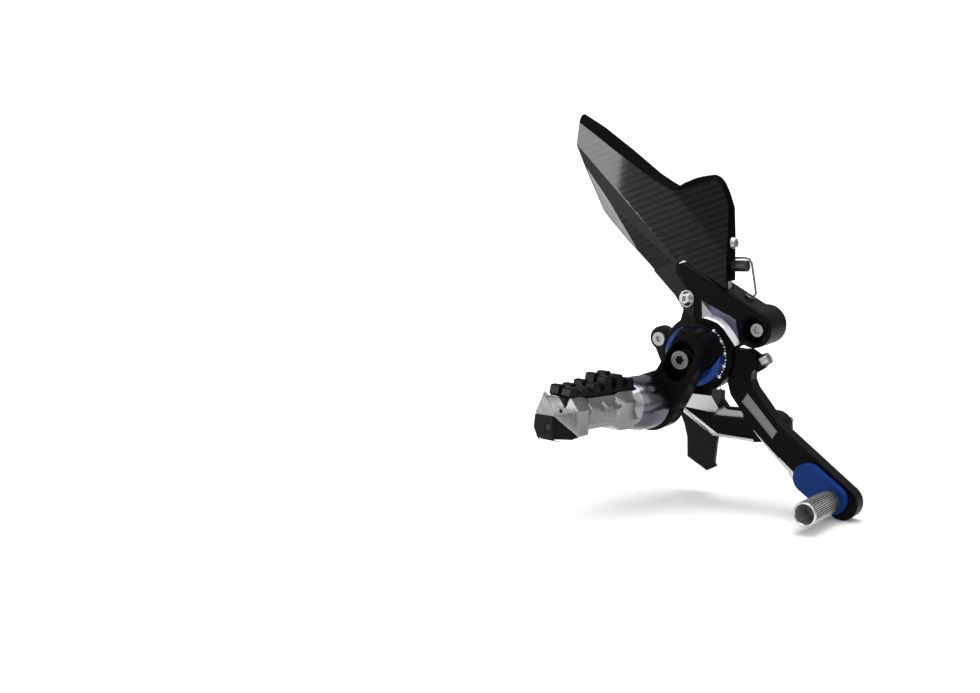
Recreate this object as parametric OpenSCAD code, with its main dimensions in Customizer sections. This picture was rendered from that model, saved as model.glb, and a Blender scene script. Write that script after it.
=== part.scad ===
// Right-hand rear-set foot control: bracket, foot peg, heel guard and brake pedal.
// X forward, -Y outboard, Z up. Origin: centre of the upper lug's face on the frame side.

/* [Bracket] */
// Outer radius of the hub ring
ring_radius = 26.5; // [25:0.5:29]
// Thickness of the hub ring
ring_depth = 8; // [7:0.5:9]
// Distance from the outboard face to the frame face
stand_off = 27; // [26.5:0.5:32]
// Depth of the upper arm
arm_depth = 20; // [16:0.5:24]
// Upper lug forward of the hub
lug_dx = 41; // [39:0.5:44]
// Upper lug above the hub
lug_dz = 19.5; // [19:0.5:22]
// Outer radius of the upper lug
lug_radius = 13.5; // [12.5:0.25:14]
// Lower lug forward of the hub
low_dx = 50.5; // [48:0.5:54]
// Lower lug below the hub
low_dz = 48.5; // [46:0.5:52]
// Outer radius of the lower lug
low_radius = 11; // [10:0.25:12]
// Outboard face of the lower arm behind the outboard plane
low_face = 15; // [14.8:0.2:16.5]
// Depth of the milled silver pocket
pocket_depth = 4; // [2:0.5:6]

/* [Hub] */
// Radius of the blue disc
disc_radius = 21; // [19:0.25:22]
// How far the disc stands proud of the ring
disc_proud = 9; // [7:0.5:11]
// Seat of the disc in the ring
disc_seat = 4; // [3:0.25:5]
// Radius of the boss that carries the pedal
boss_radius = 17; // [15:0.25:18]
// Depth of the foot peg carrier
carrier_depth = 17; // [15:0.5:20]
// Centre bolt thread size
hub_bolt = 8; // [6:1:8]

/* [Foot peg] */
// Peg foot behind the hub
peg_dx = 24.5; // [22:0.5:27]
// Peg foot below the hub
peg_dz = 31; // [29:0.5:34]
// Length of the peg's milled body
peg_length = 100; // [92:1:108]
// Radius of the peg's round foot
foot_radius = 18.5; // [17:0.25:19.5]
// Peg leans back by this angle
peg_lean = 9; // [5:0.5:12]
// Peg rises by this angle
peg_rise = 3.5; // [0:0.5:6]
// Height of the tread's teeth
tooth_height = 5; // [3:0.5:6]

/* [Guard] */
// Wall of the heel guard
guard_wall = 2.4; // [2:0.1:3]
// Depth of the guard's turned rim
rim_depth = 12; // [9:0.5:14]
// Angle of the guard towards the wheel
guard_tilt = 7.4; // [6:0.2:8]

/* [Pedal] */
// Thickness of the pedal arm
pedal_depth = 11; // [9:0.25:11]
// Outer radius of the pedal eye
eye_radius = 26; // [24:0.25:26.5]
// Thickness of the pedal eye
eye_depth = 8; // [7:0.25:8]
// Wall of the pedal bush
bush_wall = 2; // [1.5:0.1:2.5]
// Tip of the pedal forward of the hub
tip_dx = 107.5; // [104:0.5:112]
// Tip of the pedal below the hub
tip_dz = 91; // [88:0.5:94]
// Radius of the pedal tip
tip_radius = 11.5; // [10.5:0.25:12.5]
// Length of the toe peg
toe_length = 42; // [34:1:48]
// Radius of the toe peg
toe_radius = 8.3; // [7:0.1:9]
// Thickness of the blue toe plate
toe_plate_depth = 5.5; // [4:0.25:7]

/* [Screws] */
// Frame screw thread size
frame_screw = 6; // [6:1:8]
// Frame screw head radius
frame_head = 4.6; // [4.5:0.1:6]

/* [Hidden] */
$fn = 48;
eps = 0.01;
fit = 0.08;
disc_back = disc_seat - 0;
carrier_back = -disc_proud;
carrier_front = carrier_back - carrier_depth;
washer_depth = 1.6;
head_seat = carrier_front + 10;
boss_back = ring_depth + eye_depth + 0.6;
retainer_depth = 1.6;
nut_depth = 6.4;
pedal_front = 3;
pedal_back = pedal_front + pedal_depth;
eye_front = ring_depth + 0.3;
toe_x = 101.6 + (tip_dx - 107.5);
toe_z = -88.8 - (tip_dz - 91);
toe_front = pedal_front - toe_plate_depth;
slot_x = 86 + (tip_dx - 107.5);
slot_z = -76.5 - (tip_dz - 91);
guard_at = [-8.3, 1, 38];
guard_axis = [0.7413, 0, 0.6712];
stay_y = 8.7;
stay_wall = 3;
screw_up = 32;
post_up = 16.5;
foot_low = -3;
low_chamfer = 6.5;
pad = 0.8;
arm_bevel = 1.8;
plate_holes = [[-10, -40], [0, -51.5]];
// The carrier slides this way on the hub bolt, the toe plate this way along the pedal's slot.
slide_turn = 60.7;
shoe_radius = 16;
slot_turn = atan2(toe_z - slot_z, toe_x - slot_x);
function along(p, turn, d) = [p[0] + d * cos(turn), p[1] + d * sin(turn)];
plate_front = low_face + 8.2;
plate_depth = stand_off - plate_front - 0.2;

// The hub centre becomes the working origin of every piece.
module place() translate([-lug_dx, -stand_off, -lug_dz]) children();
// A flat drawing in X and Z made into a plate from y0 to y1.
module plate(y0, y1) translate([0, y1, 0]) rotate([90, 0, 0]) linear_extrude(y1 - y0) children();
// A round bar along Y.
module bar(x, z, r, y0, y1, n = 48) translate([x, y1, z]) rotate([90, 0, 0]) cylinder(r = r, h = y1 - y0, $fn = n);
// A cone along Y.
module cone(x, z, r0, r1, y0, y1, n = 48) translate([x, y1, z]) rotate([90, 0, 0]) cylinder(r1 = r1, r2 = r0, h = y1 - y0, $fn = n);
// The guard's own plane.
module guard_frame() translate(guard_at) rotate(a = -guard_tilt, v = guard_axis) children();
// The guard's front rim: X points out of the rim, Z runs up along it.
module front_frame() guard_frame() translate([30.2, 0, 8.2]) rotate([0, -3.9, 0]) children();
// The foot peg's own axis: Y runs back to the carrier, the foot's seat is at zero.
module peg_frame() translate([-peg_dx, carrier_front, -peg_dz]) rotate([-peg_rise, 0, -peg_lean]) children();
// A slot along Y: two round ends and the block between them.
module long_hole(p, turn, d0, d1, r, y0, y1) {
  for (d = [d0, d1]) bar(along(p, turn, d)[0], along(p, turn, d)[1], r, y0, y1, 48);
  translate([p[0], y1, p[1]]) rotate([90, 0, 0]) rotate(turn) translate([d0, -r, 0]) cube([d1 - d0, 2 * r, y1 - y0]);
}
// Six-lobed drive.
module drive(x, z, r, y0, depth) {
  bar(x, z, r * 0.78, y0 - 1, y0 + depth, 24);
  for (i = [0:5]) bar(x + r * 0.78 * cos(i * 60), z + r * 0.78 * sin(i * 60), r * 0.24, y0 - 1, y0 + depth, 14);
}

module arm_outline() {
  hull() {
    translate([-11.6, 56.4]) circle(6.3);
    translate([lug_dx, lug_dz + 2]) circle(lug_radius);
  }
}
module tab_zone() polygon([[-60, 70], [-24, 62], [-18.2, 55.8], [-2.6, 38.5], [-1.9, 30], [-1.9, 12], [-60, 12]]);
module neck_outline() polygon([[-13, 50], [-12.6, 29.3], [-14.2, 22.7], [-20, 15], [0, 0], [24, 5], [27.5, 7.2], [34, 9.2], [lug_dx, lug_dz], [-8, 57]]);
module pocket_outline() polygon([[3.2, 37.4], [3.9, 25.9], [11.1, 24.6], [15.5, 23.2], [19.8, 19.9], [24.5, 14.2], [28.8, 8.6], [32, 10.7], [28.4, 26.5], [26, 27.9]]);
module low_outline() {
  polygon([[-18.3, -45.3], [4.9, -59.5], [34, -60.4], [low_dx - 4, -low_dz - low_radius + 0.8], [low_dx, -low_dz], [low_dx - 6, -low_dz + low_radius - 1.8],
    [29, -37.2], [16, -37.4], [12.6, -33.5], [11.6, -27.8], [-11, -28.4]]);
  translate([low_dx, -low_dz]) circle(low_radius);
}

module bracket() color([0.09, 0.09, 0.1]) place() difference() {
  union() {
    bar(0, 0, ring_radius, 0, ring_depth, 96);
    difference() {
      union() {
        plate(0, arm_depth) neck_outline();
        hull() {
          plate(0, 0.1) offset(delta = -arm_bevel) arm_outline();
          plate(arm_bevel, arm_depth) arm_outline();
        }
      }
      bar(0, 0, eye_radius + 1.6, ring_depth, stand_off, 96);
    }
    bar(lug_dx, lug_dz + 2, lug_radius, arm_bevel, stand_off, 64);
    cone(lug_dx, lug_dz + 2, lug_radius - arm_bevel, lug_radius, 0, arm_bevel, 64);
    plate(low_face, stand_off - pad) low_outline();
    bar(low_dx, -low_dz, low_radius - 0.7, low_face + 6, stand_off, 64);
    difference() {
      union() {
        plate(0, low_face + 1) polygon([[-12.5, -ring_radius + 6], [-13.5, -30], [-14, -40], [8, -43], [12.6, -38], [12, -30], [12.3, -ring_radius + 6]]);
      }
      bar(0, 0, eye_radius + 1.6, ring_depth, stand_off, 96);
      translate([-30, 0, -27.6]) rotate([44, 0, 0]) translate([0, -40, -60]) cube([60, 40, 60]);
    }
    bar(0, 0, boss_radius, ring_depth - 1, boss_back, 64);
  }
  bar(0, 0, disc_radius - 0.5 + fit, -1, disc_seat, 96);
  bar(0, 0, hub_bolt / 2 + 0.25, -1, stand_off + 1, 32);
  bar(lug_dx, lug_dz, frame_screw / 2 + 0.25, -1, stand_off + 1, 32);
  bar(lug_dx, lug_dz, 8.4, -1, 12, 48);
  cone(lug_dx, lug_dz, 11, 8.3, -0.01, 3.5, 48);
  bar(low_dx, -low_dz, frame_screw / 2 + 0.25, low_face - 1, stand_off + 1, 32);
  bar(low_dx, -low_dz, 8.2, low_face - 1, low_face + 4, 48);
  plate(-1, pocket_depth) pocket_outline();
  plate(low_face - 1, low_face + 3) polygon([[-9, -33.4], [7.6, -45], [29, -44.4], [28.4, -39.2], [17, -39.3], [14.8, -38], [10.8, -33.6], [9.6, -30.9]]);
  intersection() {
    plate(-20, 14) tab_zone();
    guard_frame() translate([-90, guard_wall - 40, -60]) cube([140, 40, 160]);
  }
  guard_frame() { bar(0, 0, 2.55, -2, 10, 24); bar(0, 0, 6.3, -9, guard_wall - 0.4, 40); }
  front_frame() translate([-15.4, stay_y - 3.6, foot_low]) cube([14.6, 7.2, 60]);
  front_frame() translate([-10.5, stay_y, foot_low - 6.2]) cylinder(r = 2.05, h = 12, $fn = 24);
  translate([0, stand_off - 8.6, 0]) for (p = plate_holes) bar(p[0], p[1], 2.1, -3, 20, 24);
  low_bevel();
  plate(19.5, stand_off + 1) polygon([[10, -20], [39, -20], [36, -38], [30, -41.5], [16, -41.5], [10, -34]]);
}
// The wide bare bevel under the lower arm.
module low_bevel() {
  translate([4.9, low_face - 0.01, -59.5]) {
    translate([0, 0, 0]) rotate([0, 1.8, 0]) translate([0, 0, 2.6]) rotate([45, 0, 0]) translate([-8, -30, -20]) cube([40, 30, 20]);
    rotate([0, 31.5, 0]) translate([-34, 0, 2.6]) rotate([45, 0, 0]) translate([-6, -30, -20]) cube([39, 30, 20]);
  }
}
module hub_disc() color([0.05, 0.16, 0.5]) place() difference() {
  union() {
    bar(0, 0, disc_radius - 0.5, -1, disc_seat, 96);
    bar(0, 0, disc_radius, -disc_proud + 3, -0.2, 96);
    cone(0, 0, disc_radius - 3, disc_radius, -disc_proud, -disc_proud + 3, 96);
  }
  bar(0, 0, hub_bolt / 2 + 0.25, -disc_proud - 1, disc_seat + 1, 32);
  long_hole([6, 9], slide_turn, -3.4, 14, shoe_radius + 0.4, -disc_proud - 1, -0.8);
}

module carrier_outline() {
  polygon([[-1.6, 18.6], [-11.6, 3], [-18, -8], [-29, -15.5], [-peg_dx - 4, -peg_dz + 16], [-peg_dx + 2, -peg_dz - 17], [-peg_dx + 21.5, -peg_dz - 4], [0, -30], [7.6, -15], [13, -6], [16, 6], [13.5, 14]]);
  translate([-peg_dx + 1.5, -peg_dz - 0.5]) circle(foot_radius + 1.2);
  translate([5, 9]) circle(12);
}
module peg_carrier() color([0.07, 0.07, 0.075]) place() difference() {
  union() {
    plate(carrier_front + 1.5, carrier_back) carrier_outline();
    plate(carrier_front, carrier_front + 1.6) offset(delta = -1.2) carrier_outline();
    plate(carrier_back - 4, -1.2) intersection() { translate([6, 9]) circle(shoe_radius); circle(disc_radius - 0.9); }
  }
  long_hole([0, 0], slide_turn, -6.6, 4.6, 9.2, carrier_front - 1, head_seat);
  long_hole([0, 0], slide_turn, -4.5, 3.2, hub_bolt / 2 + 0.25, carrier_front, 1);
  bar(-peg_dx, -peg_dz, 4.25, carrier_front - 1, carrier_back + 1, 32);
  bar(-peg_dx, -peg_dz, 7.2, carrier_back - 8, carrier_back + 1, 32);
}
module carrier_bolt() color([0.62, 0.62, 0.62]) place() difference() {
  union() {
    bar(0, 0, hub_bolt * 0.78, head_seat - washer_depth - hub_bolt, head_seat - washer_depth, 48);
    bar(0, 0, hub_bolt / 2, head_seat - washer_depth - 0.5, boss_back + retainer_depth + nut_depth + 0.8, 32);
  }
  drive(0, 0, 3.4, head_seat - washer_depth - hub_bolt, 3);
}
module carrier_washer() color([0.6, 0.6, 0.6]) place() difference() {
  bar(0, 0, hub_bolt * 0.84, head_seat - washer_depth, head_seat, 48);
  bar(0, 0, hub_bolt / 2 + 0.1, head_seat - 4, head_seat + 1, 32);
}
module hub_nut() color([0.6, 0.6, 0.6]) place() difference() {
  bar(0, 0, hub_bolt * 0.92, boss_back + retainer_depth, boss_back + retainer_depth + nut_depth, 6);
  bar(0, 0, hub_bolt / 2 + 0.02, boss_back, boss_back + 20, 32);
}

// One section of the peg across its axis: an eight-cornered drawing at distance y.
module peg_slice(y, points) translate([0, y, 0]) rotate([90, 0, 0]) linear_extrude(0.01) polygon(points);
module peg_span(y0, a, y1, b) hull() { peg_slice(y0, a); peg_slice(y1, b); }
// Corners of the head and of the waist, from the right crease round the top to the bottom.
head_shape = [[13.5, 3.5], [7, 11.5], [-9, 11.5], [-15.5, 3.5], [-15.5, -10], [-11, -15], [9, -15], [13.5, -12.8]];
nose_shape = [[1.5, -0.5], [-3.5, 8.5], [-8.6, 13], [-15, 1.5], [-15.8, -9.4], [-12.6, -15], [-4, -15.6], [1.5, -15]];
waist_shape = [[10.8, 3], [8, 10], [-8, 10], [-10.8, 3], [-10.8, -7], [-7.5, -11], [7.5, -11], [10.8, -7]];
flare_shape = [[13.2, 4], [7.5, 13], [-7.5, 13], [-13.2, 4], [-13.2, -8], [-7, -15.4], [7, -15.4], [13.2, -8]];
head_back = -peg_length + 20.5;
waist_front = -peg_length + 24.5;
waist_back = -46.5;
flare_at = -37;
groove_back = -25;
module peg_body() color([0.6, 0.6, 0.61]) place() difference() {
  peg_frame() union() {
    translate([0, 2, 0]) rotate([90, 0, 0]) cylinder(r = foot_radius, h = 15, $fn = 96);
    translate([0, -13, 0]) rotate([90, 0, 0]) cylinder(r1 = foot_radius, r2 = foot_radius - 2.6, h = 11, $fn = 96);
    translate([0, -24, 0]) rotate([90, 0, 0]) cylinder(r1 = foot_radius - 2.6, r2 = foot_radius - 9, h = 14, $fn = 96);
    peg_span(-22, flare_shape, flare_at, flare_shape);
    peg_span(flare_at, flare_shape, waist_back, waist_shape);
    peg_span(waist_back, waist_shape, waist_front, waist_shape);
    peg_span(waist_front, waist_shape, head_back, head_shape);
    peg_span(head_back, head_shape, -peg_length + 9, head_shape);
    peg_span(-peg_length + 9, head_shape, -peg_length, nose_shape);
    hull() {
      peg_slice(-peg_length + 0.2, [[-14.8, 1.5], [-8.3, 15.5], [-5, 8.5], [-9, 3]]);
      peg_slice(-peg_length + 5, [[-14.4, 4], [-10.4, 12.4], [-8, 11], [-9, 4]]);
    }
  }
  translate([-60, carrier_front, -80]) cube([80, 20, 100]);
  peg_frame() {
    for (y = [waist_front - 0.5, (waist_front + waist_back) / 2 + 0.4, waist_back + 0.5]) for (side = [-1, 1])
      translate([side * 12.6, y, 6]) rotate([0, side * 32, 0]) rotate([0, 0, 45]) translate([-2.6, -2.6, -5.4]) cube([5.2, 5.2, 26]);
    translate([side_groove, -peg_length + 3.4, 2.5]) rotate([0, 26, 0]) rotate([0, 0, 45]) translate([-1, -1, -3]) cube([2, 2, 30]);
    slider_room(0.15);
    translate([-7.2, -peg_length + 4.8, 5]) cube([13.2, peg_length + groove_back - 4.8, 20]);
    translate([-10.4, -peg_length + 5.6, 11.45]) cube([20, peg_length + groove_back - 5.6, 20]);
    translate([-3, -peg_length - 2, -8]) rotate([-90, 0, 0]) cylinder(r = 2.2, h = 20, $fn = 24);
  }
  bar(-peg_dx, -peg_dz, 4.08, carrier_front - 16, carrier_front + 4, 32);
}
side_groove = 3.4;
// The wedge at the nose's lower corner that the slider fills.
module slider_room(g) hull() {
  translate([-22, -peg_length - 6, -26]) cube([44, 1, 25.5 + g]);
  translate([-22, -peg_length - 0.2, -1 + g]) cube([44, 0.1, 0.1]);
  translate([-22, -peg_length + 9.6 + g, -13.6 + g]) cube([44, 0.1, 0.1]);
  translate([-22, -peg_length + 9.6 + g, -26]) cube([44, 0.1, 0.1]);
}
module peg_slider() color([0.06, 0.06, 0.06]) place() peg_frame() difference() {
  intersection() {
    slider_room(0);
    union() {
      peg_span(-peg_length + 9.7, [for (p = head_shape) [p[0], p[1] - 0.8]], -peg_length + 0.2, [for (p = nose_shape) [p[0] + 0.3, p[1] - 0.6]]);
      peg_span(-peg_length + 0.3, [for (p = nose_shape) [p[0] + 0.3, p[1] - 0.6]], -peg_length - 1.6, [[0.8, -1.4], [-14.2, 0.6], [-14.8, -9], [-12, -13.8], [-4, -14.4], [0.8, -13.6]]);
    }
  }
  translate([-3, -peg_length - 8, -8]) rotate([-90, 0, 0]) cylinder(r = 2.2, h = 30, $fn = 24);
}
module slider_screw() color([0.5, 0.5, 0.5]) place() peg_frame() translate([-3, -peg_length - 1.2, -8]) rotate([-90, 0, 0]) cylinder(r = 2.1, h = 17, $fn = 24);
// The tread lies in the peg's groove: a base bar with chunky teeth in two rows that rise to the middle.
tooth_rows = 6;
tooth_pitch = (peg_length - 40) / (tooth_rows - 1);
tooth_tops = [15.6, 15.4, 17, 20.4, 20.6, 17.2];
module peg_tread() color([0.04, 0.04, 0.045]) place() peg_frame() union() {
  translate([-7, -peg_length + 5, 5]) cube([12.8, peg_length + groove_back - 5.2, 6.6]);
  translate([-9.6, -peg_length + 7.5, 11.52]) cube([17.2, peg_length + groove_back - 8.5, 1.8]);
  for (i = [0:tooth_rows - 1]) translate([0, -peg_length + 10.5 + i * tooth_pitch, 0]) {
    polyhedron_tooth(-9.8, -1.8, 12.6, tooth_tops[i] + tooth_height - 1.6);
    polyhedron_tooth(0.4, 8.2, 12.6, tooth_tops[i] + tooth_height - 2.6);
    if (i < tooth_rows - 1) translate([0, tooth_pitch / 2, 0]) polyhedron_tooth(-6, 4, 12.6, tooth_tops[i] + tooth_height - 4.4);
  }
}
// A tooth with sloping flanks, drawn from the side and extruded across the peg.
module polyhedron_tooth(x0, x1, z0, z1) translate([x0, 0, 0]) rotate([90, 0, 90]) linear_extrude(x1 - x0)
  polygon([[-4.2, z0], [4.2, z0], [3, z1 - 0.8], [2.2, z1], [-2.2, z1], [-3, z1 - 0.8]]);
module peg_bolt() color([0.5, 0.5, 0.5]) place() difference() {
  union() {
    bar(-peg_dx, -peg_dz, 4, carrier_front - 15, carrier_back - 7.9, 32);
    bar(-peg_dx, -peg_dz, 6.5, carrier_back - 8, carrier_back - 0.6, 40);
  }
  bar(-peg_dx, -peg_dz, 3, carrier_back - 4, carrier_back + 1, 6);
}

// Outline of the heel guard in its own plane, from the photo.
module guard_outline() polygon([[-98.5, 116.9], [-99.7, 100.8], [-76.3, 56.2], [-70.8, 50.8], [-34.5, 22], [-9.9, 1.3], [-4, -6], [3.9, -11.6], [7.1, -10.5],
  [6.2, 0.6], [2.6, 3.5], [-9.4, 17.2], [-10.6, 20.4], [-9.6, 23.6], [-5.6, 26], [3, 23.6], [30.2, 8.2], [27.6, 46.2], [25.7, 64.1], [21.9, 72.9], [18.4, 78.6], [15, 81.2], [11, 82],
  [7.7, 80.9], [-5.8, 75.4], [-12, 73.4], [-17.5, 73], [-34.4, 80], [-63.3, 96.2]]);
module guard_solid(g, wall) difference() {
  plate(-20, rim_depth + 4) offset(delta = -wall) guard_outline();
  // main face, then the facet below the long crease, then the one at the lower edge and the lobe
  translate([-200, g - 60, -100]) cube([400, 60, 400]);
  guard_facet(-99.7, 101.5, 40.4, 6, g);
  guard_facet(-89.9, 85.6, 49, 26, g);
  guard_facet(-15, 71, 222, 8, g);
}
// Cuts away what lies in front of a facet through a point, turned by "dir" and falling back by "fall".
module guard_facet(x, z, dir, fall, g) translate([x, g, z]) rotate([0, dir, 0]) rotate([fall, 0, 0]) translate([-200, -60, -200]) cube([400, 60, 200]);
// The flat plain tab at the guard's foot that the screw holds.
module tab_outline() intersection() {
  guard_outline();
  polygon([[-40, 10], [-27.2, 17.8], [-13.4, 23.6], [-6, 30], [20, 10], [20, -20], [-40, -20]]);
}
module heel_guard() color([0.05, 0.05, 0.055]) place() difference() {
  intersection() {
    guard_frame() union() {
      difference() {
        guard_solid(0, 0);
        guard_solid(guard_wall, guard_wall);
        plate(-30, 30) offset(delta = -0.02) polygon([[-40, 10], [-27.2, 17.8], [-13.4, 23.6], [-9.8, 26.7], [-9.8, 20], [2.6, 3.5], [20, 0], [20, -20], [-40, -20]]);
      }
      plate(0, guard_wall) tab_outline();
    }
    guard_frame() translate([-120, -20, -30]) cube([200, 20 + rim_depth, 160]);
  }
  guard_frame() bar(0, 0, 2.8, -3, 20, 24);
  difference() {
    plate(0, arm_depth + 2) offset(delta = 5) union() { arm_outline(); neck_outline(); }
    guard_frame() translate([-120, -20, -60]) cube([200, 20 + guard_wall + 0.02, 200]);
  }
  plate(-8, arm_depth) offset(delta = 0.45) difference() { union() { arm_outline(); neck_outline(); } tab_zone(); }
  front_frame() for (z = [screw_up, post_up]) translate([-8, stay_y, z]) rotate([0, 90, 0]) cylinder(r = 2.1, h = 12, $fn = 24);
  front_frame() translate([-16, guard_wall + 0.3, -12]) cube([13.4, 12, 20]);
}
module guard_screw() color([0.62, 0.62, 0.62]) place() guard_frame() difference() {
  union() {
    bar(0, 0, 2.5, -0.5, 10, 24);
    cone(0, 0, 3.4, 5.2, -4.2, -1.2, 40);
    bar(0, 0, 5.8, -1.2, 0, 40);
  }
  drive(0, 0, 2, -4.2, 2);
}
module guard_front_screw() color([0.66, 0.66, 0.66]) place() front_frame() translate([0, stay_y, screw_up]) rotate([0, 90, 0]) difference() {
  union() {
    translate([0, 0, -guard_wall - stay_wall - 2]) cylinder(r = 1.95, h = guard_wall + stay_wall + 2.5, $fn = 24);
    cylinder(r1 = 4.2, r2 = 3, h = 2.6, $fn = 40);
  }
  translate([0, 0, 1.3]) cylinder(r = 1.7, h = 3, $fn = 6);
}
module guard_stay() color([0.55, 0.55, 0.56]) place() front_frame() difference() {
  union() {
    translate([-guard_wall - stay_wall - 0.2, stay_y - 3.2, foot_low]) cube([stay_wall, 6.4, screw_up + 4 - foot_low]);
    translate([-15, stay_y - 3.2, foot_low]) cube([12, 6.4, 3]);
  }
  for (z = [screw_up, post_up]) translate([-8, stay_y, z]) rotate([0, 90, 0]) cylinder(r = 2, h = 12, $fn = 24);
  translate([-10.5, stay_y, foot_low - 1]) cylinder(r = 2.1, h = 8, $fn = 24);
}
module stay_screw() color([0.5, 0.5, 0.5]) place() front_frame() translate([-10.5, stay_y, foot_low]) union() {
  translate([0, 0, -6]) cylinder(r = 2, h = 9.5, $fn = 24);
  translate([0, 0, 3]) cylinder(r = 3.4, h = 3, $fn = 32);
}
module hose_post() color([0.08, 0.08, 0.08]) place() front_frame() translate([0, stay_y, post_up]) rotate([0, 90, 0]) union() {
  cylinder(r = 3.9, h = 11.5, $fn = 32);
  translate([0, 0, -guard_wall - stay_wall - 1]) cylinder(r = 1.95, h = 8, $fn = 24);
}
// Bent wire from the post's end to a small eye on top of the arm.
function wire_path() = [[23, 10.4, 67.2], [29, 10.8, 67.8], [32.6, 11.2, 67.2], [34.4, 11.6, 64.4], [36.6, 12.6, 50], [37.4, 13, 43.6], [36.4, 12, 41.8]];
module wire_clip() color([0.6, 0.6, 0.6]) place() union() {
  for (i = [0:5]) hull() for (k = [i, i + 1]) translate(wire_path()[k]) sphere(r = 0.75, $fn = 14);
  translate([33.6, 12, 41.7]) rotate([0, 24, 0]) rotate_extrude($fn = 40) translate([2.8, 0]) circle(0.75, $fn = 14);
}

module frame_screw_shape(x, z, seat) difference() {
  union() {
    bar(x, z, frame_head, seat - frame_screw * 0.7, seat, 40);
    bar(x, z, frame_screw / 2 - 0.5, seat - 0.5, stand_off + 0.5, 32);
    bar(x, z, frame_screw / 2, stand_off, stand_off + 18, 32);
  }
  drive(x, z, 2.6, seat - frame_screw * 0.7, 2.4);
}
module upper_frame_screw() color([0.6, 0.6, 0.6]) place() frame_screw_shape(lug_dx, lug_dz, 12);
module lower_frame_screw() color([0.6, 0.6, 0.6]) place() frame_screw_shape(low_dx, -low_dz, low_face + 4);

module pedal_outline() polygon([[22, 6.4], [27, 5.6], [31, 5.4], [36.5, 6], [43, 2.5], [44.5, -3.8], [40, -9.5], [39.4, -14.6], [42, -20], [60.6, -42.4], [tip_dx + 6.8, -tip_dz + 9.3],
  [tip_dx, -tip_dz], [tip_dx - 6.5, -tip_dz - 9.4], [71.5, -78.6], [50.5, -59.8], [30.5, -33.4], [24.6, -26], [22.8, -20], [21, -14], [16, 0]]);
module pedal() color([0.08, 0.08, 0.085]) place() difference() {
  union() {
    difference() {
      plate(pedal_front, pedal_back) union() { pedal_outline(); translate([tip_dx, -tip_dz]) circle(tip_radius); }
      bar(0, 0, ring_radius + 0.7, -1, eye_front, 96);
    }
    bar(0, 0, eye_radius, eye_front, eye_front + eye_depth, 96);
    translate([40, pedal_front + pedal_depth / 2, -5]) rotate([0, 58, 0]) cylinder(r = 5.2, h = 6.5, $fn = 40);
  }
  bar(0, 0, boss_radius + bush_wall, -1, 40, 64);
  long_hole([slot_x, slot_z], slot_turn, -2, 23.5, 3.2, -1, 30);
  plate(pedal_front - 1, pedal_front + 1) polygon([[37.2, -23.6], [33.8, -29.2], [56.6, -52.8], [59.8, -47.6]]);
  translate([71.5, pedal_front, -78.6]) rotate([0, 41.8, 0]) translate([-70, 0, 3]) rotate([45, 0, 0]) translate([-6, -20, -14]) cube([72, 20, 14]);
  translate([36, pedal_front + pedal_depth / 2, -7.5]) rotate([0, 58, 0]) cylinder(r = 2.5, h = 30, $fn = 24);
}
module pedal_bush() color([0.6, 0.5, 0.3]) place() difference() {
  bar(0, 0, boss_radius + bush_wall, eye_front, eye_front + eye_depth, 64);
  bar(0, 0, boss_radius + 0.06, 0, 40, 64);
}
module pedal_retainer() color([0.5, 0.5, 0.5]) place() difference() {
  bar(0, 0, boss_radius + bush_wall + 3, boss_back, boss_back + retainer_depth, 64);
  bar(0, 0, hub_bolt / 2 + 0.1, 0, 40, 32);
}
module toe_plate() color([0.04, 0.15, 0.5]) place() difference() {
  plate(toe_front, pedal_front) hull() {
    translate([slot_x - 1.4, slot_z + 0.6]) circle(10.2);
    translate([toe_x + 0.6, toe_z + 0.6]) circle(10.2);
  }
  bar(slot_x, slot_z, 3.05, toe_front + 1, 30, 32);
  bar(toe_x, toe_z, 3.05, -20, 30, 32);
}
module toe_peg() color([0.62, 0.62, 0.62]) place() difference() {
  bar(toe_x, toe_z, toe_radius, toe_front - toe_length, toe_front, 60);
  bar(toe_x, toe_z, toe_radius * 0.8, toe_front - toe_length - 1, toe_front - toe_length + 20, 48);
  bar(toe_x, toe_z, 3, toe_front - toe_length, toe_front + 1, 32);
}
module toe_peg_screw() color([0.5, 0.5, 0.5]) place() bar(toe_x, toe_z, 3, toe_front - 14, pedal_front - 0.1, 32);
module toe_slot_washer() color([0.55, 0.55, 0.55]) place() difference() {
  bar(slot_x, slot_z, 6.5, pedal_back, pedal_back + 1.2, 40);
  bar(slot_x, slot_z, 3.1, -20, 40, 32);
}
module toe_slot_screw() color([0.5, 0.5, 0.5]) place() union() {
  bar(slot_x, slot_z, 3, toe_front + 1.2, pedal_back + 1.7, 32);
  bar(slot_x, slot_z, 5, pedal_back + 1.2, pedal_back + 5, 40);
}
module adjuster_screw() color([0.6, 0.6, 0.6]) place() translate([40, pedal_front + pedal_depth / 2, -5]) rotate([0, 58, 0]) difference() {
  union() {
    translate([0, 0, -2]) cylinder(r = 2.45, h = 13, $fn = 24);
    translate([0, 0, 9.2]) cylinder(r = 4.2, h = 3, $fn = 32);
  }
  translate([0, 0, 10.6]) cylinder(r = 1.8, h = 3, $fn = 6);
}
module adjuster_nut() color([0.55, 0.55, 0.55]) place() translate([40, pedal_front + pedal_depth / 2, -5]) rotate([0, 58, 0]) difference() {
  translate([0, 0, 6.5]) cylinder(r = 4.6, h = 2.7, $fn = 6);
  translate([0, 0, 2]) cylinder(r = 2.5, h = 10, $fn = 24);
}

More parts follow.
